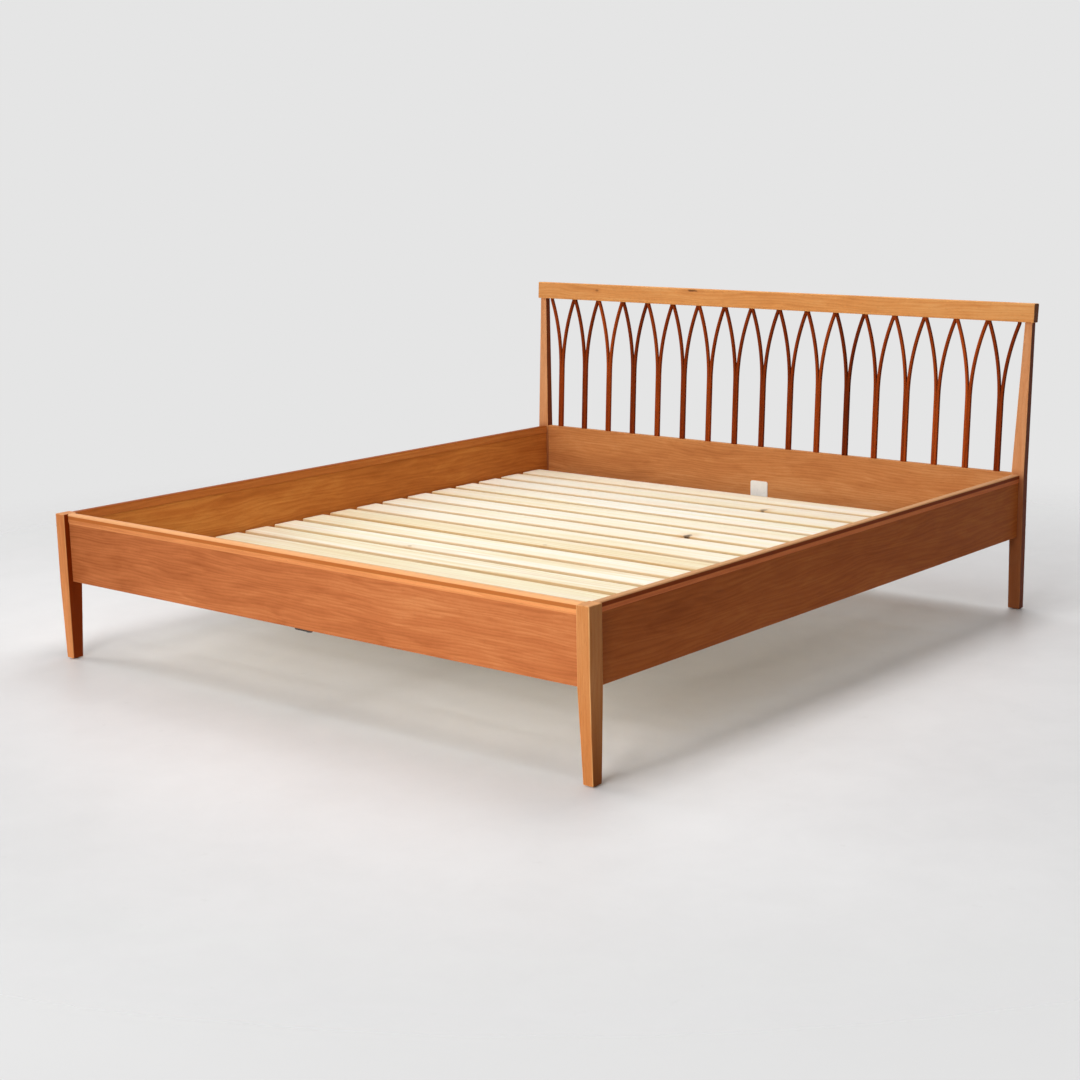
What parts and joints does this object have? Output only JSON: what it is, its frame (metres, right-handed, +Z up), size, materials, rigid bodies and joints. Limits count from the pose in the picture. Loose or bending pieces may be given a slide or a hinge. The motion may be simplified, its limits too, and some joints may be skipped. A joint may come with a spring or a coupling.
{
  "type": "bed frame",
  "caption": "Wooden double bed frame with a slatted base, tapered legs and a raked headboard of forked spindles that meet in pointed arches.",
  "frame": {"origin": "on the floor, under the middle of the overall width and length", "axes": "+Z up, +Y from the foot of the bed to the headboard, +X to the right seen from the foot"},
  "size_m": [1.902, 2.1076, 0.9187],
  "materials": {
    "post_wood": "satin lacquer",
    "board_wood": "satin lacquer",
    "edging_wood": "satin lacquer",
    "cap_wood": "satin lacquer",
    "spindle_wood": "satin lacquer",
    "slat_wood": "untreated, planed",
    "dowel_wood": "untreated",
    "steel": "zinc plated",
    "grey_steel": "powder coated",
    "white_steel": "powder coated",
    "strap_webbing": "woven band",
    "glide_plastic": "matt"
  },
  "bodies": {
    "root": {"foot_post_left": "post_wood", "foot_post_right": "post_wood", "head_post_left": "post_wood", "head_post_right": "post_wood", "foot_rail": "board_wood", "foot_rail_edging": "edging_wood", "side_rail_left": "board_wood", "side_rail_right": "board_wood", "side_rail_edging_left": "edging_wood", "side_rail_edging_right": "edging_wood", "headboard_panel": "board_wood", "headboard_cap": "cap_wood", "spindle_01": "spindle_wood", "spindle_02": "spindle_wood", "spindle_03": "spindle_wood", "spindle_04": "spindle_wood", "spindle_05": "spindle_wood", "spindle_06": "spindle_wood", "spindle_07": "spindle_wood", "spindle_08": "spindle_wood", "spindle_09": "spindle_wood", "spindle_10": "spindle_wood", "spindle_11": "spindle_wood", "spindle_12": "spindle_wood", "spindle_13": "spindle_wood", "spindle_14": "spindle_wood", "spindle_15": "spindle_wood", "spindle_16": "spindle_wood", "spindle_17": "spindle_wood", "slat_01": "slat_wood", "slat_02": "slat_wood", "slat_03": "slat_wood", "slat_04": "slat_wood", "slat_05": "slat_wood", "slat_06": "slat_wood", "slat_07": "slat_wood", "slat_08": "slat_wood", "slat_09": "slat_wood", "slat_10": "slat_wood", "slat_11": "slat_wood", "slat_12": "slat_wood", "slat_13": "slat_wood", "slat_14": "slat_wood", "slat_15": "slat_wood", "slat_16": "slat_wood", "slat_17": "slat_wood", "slat_ledge_left": "slat_wood", "slat_ledge_right": "slat_wood", "slat_straps": "strap_webbing", "strap_staples": "steel", "centre_beam": "grey_steel", "beam_bracket_foot": "white_steel", "beam_bracket_head": "white_steel", "beam_bolts": "steel", "rail_hook_plates": "steel", "post_slot_plates": "steel", "plate_screws": "steel", "board_screws": "steel", "dowels": "dowel_wood", "post_glides": "glide_plastic"}
  },
  "joints": []
}
